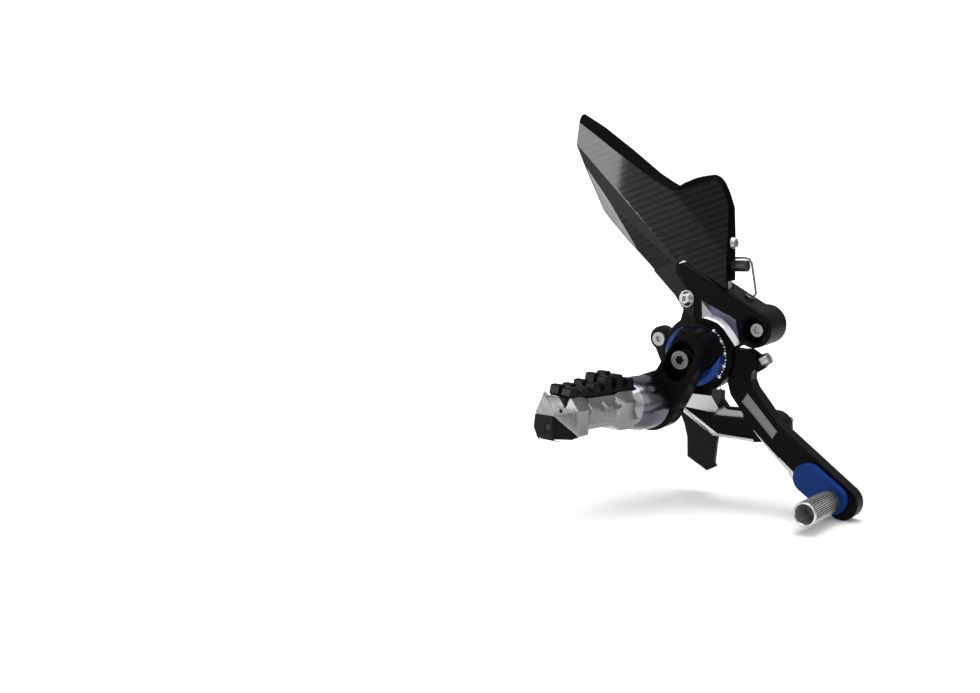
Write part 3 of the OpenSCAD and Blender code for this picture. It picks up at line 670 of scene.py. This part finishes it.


# Foot peg: machined from a bare bar, with a turned foot at the carrier, a slimmer waist and
# a faceted head. The foot has turning lines, and its dark bluish grey is partly a painted
# reflection. The toothed tread in its top is black, and so is the slider at its tip.
PEG_GREY = (0.26, 0.26, 0.265)
FOOT_REFLECTION_GREY = (0.09, 0.09, 0.11)
FOOT_FROM = -52.5
TREAD_BLACK = (0.0035, 0.0035, 0.004)
SLIDER_BLACK = (0.004, 0.004, 0.004)
peg_metal = milled(
    "milled_peg", PEG_GREY, across=(0.25, 0.93, 0.1), rough=(0.24, 0.34), lift=1.5)
# Partly painted reflection: the turned foot's dark bluish grey stands for the blue and grey it
# mirrors.
peg_foot_reflection = milled(
    "turned_foot_reflection", FOOT_REFLECTION_GREY, across=(0.1, 0.98, 0.1), rough=(0.14, 0.26),
    pitch=2600.0, bump=0.2, lift=1.8)
peg_body = softened("peg_body", "milled_peg", 0.4, 20)
coat(peg_body, [peg_metal, peg_foot_reflection], middles(peg_body)[:, 1] > FOOT_FROM)
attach(peg_body, "carrier")

tread_black = dyed("tread_black", TREAD_BLACK, (0.35, 0.5), level=0.1, bump=0.15, lift=1.8)
peg_tread = softened("peg_tread", "toothed_tread", 0.6)
coat(peg_tread, [tread_black])
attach(peg_tread, "carrier")

slider_black = dyed(
    "slider_black", SLIDER_BLACK, (0.4, 0.55), level=0.08, bump=0.1, scale=1400, lift=1.8)
peg_slider = softened("peg_slider", "moulded_slider", 0.5)
coat(peg_slider, [slider_black])
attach(peg_slider, "carrier")


# Heel guard: carbon cloth in a twill, laid in a mould and lacquered. The rim flares out and is
# plain black. The foot under the screw is plain too. The lower facet is painted a plain dark grey
# as a painted reflection, and a grey patch along the facet's edge is a painted reflection of the
# bench. Lines are in mm in the guard's own tilted plane.
GUARD_AT = np.array([-8.3, 1.0, 38.0])
GUARD_AXIS = Vector((0.7413, 0.0, 0.6712))
GUARD_TILT = math.radians(7.4)
GUARD_CUTS = (
    ((1, 0, 0), -150, -4, 1.5),
    ((0, 0, 1), -6, 136, 1.5),
    ((0, 1, 0), -26, 4, 2.5),
)
GUARD_CREASE_DEG = 40
RIM_LINE = [
    (-99.7, 100.8), (-98.5, 116.9), (-63.3, 96.2), (-34.4, 80), (-17.5, 73), (-12, 73.4),
    (-5.8, 75.4), (7.7, 80.9), (11, 82), (15, 81.2), (18.4, 78.6), (21.9, 72.9), (25.7, 64.1),
]
RISE_MM = np.array([
    (-99, 6.1), (-60, 5.8), (-25, 3.2), (-18, 3.0), (-13, 6.3),
    (-6, 7.2), (0, 6.2), (8, 4.4), (16, 3.0), (24, 0),
])
SHIFT_MM = np.array([(-99, -3.6), (-84, 0), (-8, 0), (8, -2.0), (16, -1.5), (24, 0)])
FLARE_DEEP_MM = 11
FLARE_WIDE_MM = 2.6
FLARE_FADE_MM = 0.8
ON_RIM_MM = 0.15
SIDEWAYS = 0.35
LOW_LINE = [(-99.7, 100.8), (-76.3, 56.2), (-70.8, 50.8), (-34.5, 22)]
LOW_STRIP_MM = 0.7
BENCH_REFLECTION_LINES = [((-91.9, 86.6), (-62.2, 54.3)), ((-61.4, 52.0), (-37.0, 21.3))]
BENCH_REFLECTION_END = -37
CLOTH_LINE = ((-62.7, 56.1), (-16.0, 25.8))
FACET_LINE = ((-99.7, 101.5), (-12, 26.8))
FACET_END = -12
FACET_DEG = 3.5
CORNER_DEG = (30, 80)
TAB_LINE = [(-40, 10), (-27.2, 17.8), (-13.4, 23.6), (-6, 30), (20, 10), (20, -20), (-40, -20)]
TOW_M = 0.0016
TOW_TURN = math.radians(-23)
TOWS_AWAY = 4000.0
TOW_DARK = (0.0008, 0.0008, 0.0008)
TOW_LIGHT = (0.0068, 0.0068, 0.0064)
TOW_ROUGH = {"To Min": 0.34, "To Max": 0.2}
LACQUER = {
    "Metallic": 0.0, "Specular IOR Level": 0.05, "Coat Weight": 0.38, "Coat Roughness": 0.05,
}


def points_of(piece):
    """A piece's points, in mm from the hub."""
    return rows_of(piece.data.vertices, "co") * 1000 + HUB_MM


def line_gap(points, line):
    """Distance of each point in X and Z from an open line: the nearest point of each stretch, and
    the least of them."""
    p = points[:, None, :]
    a = np.array(line[:-1], float)[None]
    b = np.array(line[1:], float)[None]
    t = np.clip(((p - a) * (b - a)).sum(-1) / ((b - a) ** 2).sum(-1), 0, 1)[..., None]
    return np.sqrt((((a + t * (b - a)) - p) ** 2).sum(-1)).min(1)


def cut_through(work, spot, way):
    """Cuts a whole bmesh along the plane through a spot, square to a way."""
    everything = work.verts[:] + work.edges[:] + work.faces[:]
    bmesh.ops.bisect_plane(
        work, geom=everything, plane_co=spot, plane_no=way, dist=CUT_SLACK_M)


heel_guard = softened("heel_guard", "carbon_guard", 0)
mesh = heel_guard.data
work = bmesh.new()
work.from_mesh(mesh)
bmesh.ops.triangulate(work, faces=work.faces)
for way, low, high, step in GUARD_CUTS:
    for at in np.arange(low, high, step):
        cut_through(work, Vector(way) * (float(at) * 0.001), Vector(way))
tilt = np.array(Matrix.Rotation(-GUARD_TILT, 3, GUARD_AXIS))
low_stretches = list(zip(LOW_LINE, LOW_LINE[1:]))
for (x0, z0), (x1, z1) in BENCH_REFLECTION_LINES + [CLOTH_LINE] + low_stretches:
    across = np.array([-(z1 - z0), 0.0, x1 - x0]) / math.hypot(x1 - x0, z1 - z0)
    inset = LOW_STRIP_MM if (x0, z0) in LOW_LINE else 0.0
    spot = (np.array([x0, 0.0, z0]) + inset * across) @ tilt.T + GUARD_AT - HUB_MM
    cut_through(work, spot / 1000, across @ tilt.T)
work.to_mesh(mesh)
work.free()
creased(mesh, GUARD_CREASE_DEG)
mid = (middles(heel_guard) - GUARD_AT) @ tilt
way = normals(heel_guard) @ tilt

sizes = np.empty(len(mesh.polygons), dtype=np.int32)
corners = np.empty(len(mesh.loops), dtype=np.int32)
mesh.polygons.foreach_get("loop_total", sizes)
mesh.loops.foreach_get("vertex_index", corners)
flat = (points_of(heel_guard) - GUARD_AT) @ tilt
gap = line_gap(flat[:, [0, 2]], RIM_LINE)
front = np.zeros(len(flat), bool)
front[corners[np.repeat(way[:, 1] < -SIDEWAYS, sizes)]] = True
edge = flat[front & (gap < ON_RIM_MM)]
edge = edge[np.argsort(edge[:, 0])]
depth = flat[:, 1] - np.interp(flat[:, 0], edge[:, 0], edge[:, 1])
near_rim = np.clip(1 - (gap - FLARE_WIDE_MM) / FLARE_FADE_MM, 0, 1)
bulge = np.sin(np.clip(depth / FLARE_DEEP_MM, 0, 1) * math.pi / 2) * near_rim * ~front
rise = np.interp(flat[:, 0], *RISE_MM.T) * bulge
shift = np.interp(flat[:, 0], *SHIFT_MM.T) * bulge
flat[:, 2] += rise
flat[:, 0] += shift
spots = flat @ tilt.T + GUARD_AT
mesh.vertices.foreach_set("co", ((spots - HUB_MM) / 1000).ravel())
mesh.update()

weave, start, end, add, link, calc = effect(
    "carbon_twill",
    [
        ("Tow", "NodeSocketFloat", TOW_M),
        ("Along", "NodeSocketVector", (math.cos(TOW_TURN), 0.0, math.sin(TOW_TURN))),
        ("Across", "NodeSocketVector", (-math.sin(TOW_TURN), 0.0, math.cos(TOW_TURN))),
    ],
    ["Warp", "Height"],
)
place = add("ShaderNodeTexCoord")
steps = []
for way_name in ("Along", "Across"):
    dot = add("ShaderNodeVectorMath", operation="DOT_PRODUCT")
    link(place.outputs["Object"], dot.inputs[0])
    link(start.outputs[way_name], dot.inputs[1])
    tows = calc("DIVIDE", dot.outputs["Value"], start.outputs["Tow"])
    steps.append(calc("ADD", tows, TOWS_AWAY))
u, v = steps
stair = calc("SUBTRACT", calc("FLOOR", u), calc("FLOOR", v))
cell = calc("MODULO", calc("ADD", stair, 2 * TOWS_AWAY), 4.0)
warp = calc("LESS_THAN", cell, 1.5)
weft = calc("SUBTRACT", 1.0, warp)
crown_u = calc("SINE", calc("MULTIPLY", calc("FRACT", u), math.pi))
crown_v = calc("SINE", calc("MULTIPLY", calc("FRACT", v), math.pi))
crown = calc("ADD", calc("MULTIPLY", crown_u, warp), calc("MULTIPLY", crown_v, weft))
link(warp, end.inputs["Warp"])
link(crown, end.inputs["Height"])

carbon, add, link, mix, height, roughness = skinned(
    "carbon_twill", TOW_DARK, TOW_LIGHT, bump=0.35, relief_m=0.00012, skin_values=LACQUER)
cloth = add("ShaderNodeGroup", node_tree=weave)
tow_sheen = add("ShaderNodeMapRange", TOW_ROUGH)
link(cloth.outputs["Warp"], mix)
link(cloth.outputs["Height"], height)
link(cloth.outputs["Warp"], tow_sheen.inputs["Value"])
link(tow_sheen.outputs[0], roughness)
plain_lacquer = dyed("plain_lacquer", (0.005, 0.005, 0.005), (0.35, 0.45), level=0.1, lift=1.4)
# Painted reflection: the lower facet takes a smooth dark grey in place of the twill.
facet_reflection_grey = dyed("facet_reflection_grey", (0.013, 0.013, 0.013), (0.5, 0.6), level=0.08, lift=1.4)
# Painted reflection: a light grey that stands for the bench mirrored in the facet's edge.
painted_bench_reflection = dyed(
    "painted_bench_reflection", (0.13, 0.13, 0.13), (0.3, 0.5), level=0.3, scale=500.0, lift=1.9)
rim_black = dyed("rim_black", (0.0008, 0.0008, 0.0008), (0.5, 0.6), level=0.01, lift=1.4)

tab = within(mid, TAB_LINE, 0.0)
inside = way[:, 1] > 0.5
side = np.abs(way[:, 1]) < SIDEWAYS
slope = np.degrees(np.arccos(np.clip(-way[:, 1], -1, 1)))
# Painted reflection of the bench: a grey patch along the lower facet's edge.
inside_mirror_lines = np.all([beside(mid, *line) < 0 for line in BENCH_REFLECTION_LINES], axis=0)
mirrored_bench = inside_mirror_lines & (mid[:, 0] < BENCH_REFLECTION_END)
cloth_facet = (beside(mid, *CLOTH_LINE) < 0) & ~mirrored_bench
low_facet = (slope > FACET_DEG) & (beside(mid, *FACET_LINE) < 0) & (mid[:, 0] < FACET_END)
choice = np.zeros(len(mid), int)
choice[low_facet & ~cloth_facet] = 2
choice[mirrored_bench & (line_gap(mid[:, [0, 2]], LOW_LINE) > LOW_STRIP_MM)] = 3
choice[tab | inside | between(slope, *CORNER_DEG)] = 1
choice[side & ~inside] = 4
coat(heel_guard, [carbon, plain_lacquer, facet_reflection_grey, painted_bench_reflection, rim_black], choice)
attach(heel_guard, "frame_side")


# Stay, post and wire behind the guard: a bent steel strip, a black post screwed to it,
# and a springy wire from the post's end to an eye on the arm's top edge.
STAY_GREY = (0.34, 0.34, 0.345)
WIRE_GREY = (0.13, 0.13, 0.135)
stay_steel = milled(
    "stay_steel", STAY_GREY, across=(0.8, 0.1, 0.5), rough=(0.28, 0.42), lift=1.3)
guard_stay = softened("guard_stay", "bent_stay", 0.3)
coat(guard_stay, [stay_steel])
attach(guard_stay, "frame_side")

post_black = dyed("post_black", (0.008, 0.008, 0.008), (0.25, 0.4), lift=1.6)
hose_post = softened("hose_post", "black_post", 0.5)
coat(hose_post, [post_black])
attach(hose_post, "frame_side")

wire_steel = milled(
    "wire_steel", WIRE_GREY, across=(0.8, 0.1, 0.5), rough=(0.25, 0.4), lift=1.4)
wire_clip = softened("wire_clip", "spring_wire", 0, 50)
coat(wire_clip, [wire_steel])
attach(wire_clip, "frame_side")


# Brake pedal: milled from plate and anodised black like the bracket, with a window sunk in
# its face and a bare bevel along the lower flank. It turns on a bronze bush.
PEDAL_GREY = (0.15, 0.15, 0.152)
PEDAL_FACE = 3.0
PEDAL_WINDOW = [(37.2, -23.6), (33.8, -29.2), (56.6, -52.8), (59.8, -47.6)]
PEDAL_WINDOW_MM = 1.2
PEDAL_EDGE = ((66, -73.6), (101, -100.4))
PEDAL_BAND_MM = 3.6
PEDAL_BAND_BELOW, PEDAL_BAND_END = -45, 90
PEDAL_BEVEL_BELOW = -20
pedal_window = milled(
    "milled_pedal_window", PEDAL_GREY, across=(0.7, 0.0, -0.7), rough=(0.3, 0.4), lift=1.4)
pedal = softened("pedal", "milled_pedal", 0.5)
band(pedal, PEDAL_FACE, [PEDAL_EDGE], PEDAL_BAND_MM)
mid, way = middles(pedal), normals(pedal)
deep = mid[:, 1] - PEDAL_FACE
in_pedal = between(deep, NEAR_MM, PEDAL_WINDOW_MM) & within(mid, PEDAL_WINDOW)
bevel = between(way[:, 1], *SLANT) & (way[:, 2] < -0.2) & (mid[:, 2] < PEDAL_BEVEL_BELOW)
near_edge = np.abs(beside(mid, *PEDAL_EDGE)) < PEDAL_BAND_MM
along_band = (mid[:, 2] < PEDAL_BAND_BELOW) & (mid[:, 0] < PEDAL_BAND_END)
choice = np.zeros(len(mid), int)
choice[in_pedal] = 1
choice[bevel | ((np.abs(deep) < NEAR_MM) & near_edge & along_band)] = 2
coat(pedal, [anodised_black, pedal_window, flank_metal], choice)
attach(pedal, "brake_pedal")

bush_bronze = plated("bush_bronze", (0.36, 0.23, 0.09), (0.35, 0.5))
pedal_bush = softened("pedal_bush", "bronze_bush", 0.2)
coat(pedal_bush, [bush_bronze])
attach(pedal_bush, "brake_pedal")


# Toe plate: a flat blue link that moves along the pedal's slot and carries the toe peg.
# Its blue is duller than the hub disc's.
TOE_DYE = (0.0028, 0.027, 0.14)
toe_blue = dyed("toe_blue", TOE_DYE, (0.32, 0.42), metallic=0.1, level=0.12, lift=1.3)
toe_plate = softened("toe_plate", "blue_toe_plate", 0.45)
coat(toe_plate, [toe_blue])
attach(toe_plate, "toe_unit")


# Toe peg: a turned tube with a straight knurl over its whole length, a smooth chamfered lip
# at the open end and a deep dull bore. The knurl's grooves are painted dark as painted shade.
TOE_AT = (101.6, -88.8)
TOE_OUTER = 8.3
TOE_BORE = 6.64
TOE_BACK = -2.5
TOE_FRONT = TOE_BACK - 42.0
TOE_FLOOR = TOE_FRONT + 19.5
TOE_LIP = 1.4
TOE_CREASE_DEG = 35
KNURLS = 36
KNURL_STEPS = 6
KNURL_ROWS = 26
GROOVE_MM = 0.55
GROOVE_POWER = 1.4
KNURL_GREY = (0.55, 0.55, 0.54)
GROOVE_SHADE_DARK = (0.015, 0.015, 0.014, 1)


def knurled_tube():
    """Round and round the tube's own profile: floor, bore, lip, knurled outside and back.
    The outside radius is the tube's less a shallow groove, a cosine of the angle times the knurl
    count, raised to a power."""
    profile = [
        (0.02, TOE_FLOOR),
        (TOE_BORE * 0.5, TOE_FLOOR),
        (TOE_BORE, TOE_FLOOR + 0.1),
        (TOE_BORE, TOE_FRONT + 0.7),
        (TOE_BORE + 0.5, TOE_FRONT),
        (TOE_OUTER - 0.5, TOE_FRONT),
        (TOE_OUTER - 0.12, TOE_FRONT + 0.4),
        (TOE_OUTER - 0.1, TOE_FRONT + TOE_LIP),
    ]
    before = len(profile)
    rows = np.linspace(TOE_FRONT + TOE_LIP + 0.3, TOE_BACK - 0.5, KNURL_ROWS)
    profile += [(TOE_OUTER, y) for y in rows]
    profile += [(TOE_OUTER - 0.4, TOE_BACK), (0.02, TOE_BACK)]
    depth = np.zeros((len(profile), 1))
    depth[before:-2] = GROOVE_MM
    radius, y = np.array(profile).T[..., None]
    around = KNURLS * KNURL_STEPS
    turn = np.linspace(0, 2 * math.pi, around, endpoint=False)[None, :]
    r = radius - depth * (0.5 + 0.5 * np.cos(KNURLS * turn)) ** GROOVE_POWER
    x, z = TOE_AT[0] + r * np.cos(turn), TOE_AT[1] + r * np.sin(turn)
    grid = np.stack([x, y + 0 * turn, z], -1)
    return grid.reshape(-1, 3), ring_quads(len(profile), around)


grid, quads = knurled_tube()
toe_peg = grid_piece("knurled_toe_peg", grid, quads.tolist(), merge_m=2e-5)
creased(toe_peg.data, TOE_CREASE_DEG)
spots = points_of(toe_peg)
reach = np.hypot(spots[:, 0] - TOE_AT[0], spots[:, 2] - TOE_AT[1])
outside = (reach > TOE_BORE + 0.9) & (spots[:, 1] > TOE_FRONT + TOE_LIP + 0.2)
deep = np.clip((TOE_OUTER - 0.12 - reach) / (GROOVE_MM * 0.5), 0, 1) * outside
groove = toe_peg.data.attributes.new("groove", "FLOAT", "POINT")
groove.data.foreach_set("value", deep.astype(np.float32))

knurl_steel = milled(
    "knurled_metal", KNURL_GREY, across=(0.2, 0.95, 0.2), rough=(0.2, 0.3), lift=1.3)
add, link = hands(knurl_steel.node_tree)
skin = next(n for n in knurl_steel.node_tree.nodes if n.type == "BSDF_PRINCIPLED")
metal_shade = skin.inputs["Base Color"].links[0].from_socket
in_groove = add("ShaderNodeAttribute", attribute_name="groove")
# Painted shade: the knurl's grooves go near black by the groove attribute.
groove_painted_shade = add("ShaderNodeMix", {"B": GROOVE_SHADE_DARK}, data_type="RGBA")
link(in_groove.outputs["Fac"], groove_painted_shade.inputs["Factor"])
link(metal_shade, groove_painted_shade.inputs["A"])
link(groove_painted_shade.outputs["Result"], skin.inputs["Base Color"])
bore_dull = dyed("dull_bore", (0.3, 0.3, 0.3), (0.4, 0.55), metallic=0.6, lift=1.5)
mid = middles(toe_peg)
in_bore = np.hypot(mid[:, 0] - TOE_AT[0], mid[:, 2] - TOE_AT[1]) < TOE_BORE + NEAR_MM
coat(
    toe_peg, [knurl_steel, bore_dull],
    in_bore & between(mid[:, 1], TOE_FRONT + 0.1, TOE_FLOOR + 0.2))
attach(toe_peg, "toe_unit")
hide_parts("toe_peg")


# Cylinder plate: a flat black plate behind the bracket, with an ear at the left and a
# tongue that hangs below the lower arm.
plate_black = dyed("plate_black", (0.0045, 0.0045, 0.005), (0.35, 0.45), level=0.1, lift=1.4)
cylinder_plate = softened("cylinder_plate", "black_plate", 0.4)
coat(cylinder_plate, [plate_black])
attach(cylinder_plate, "frame_side")
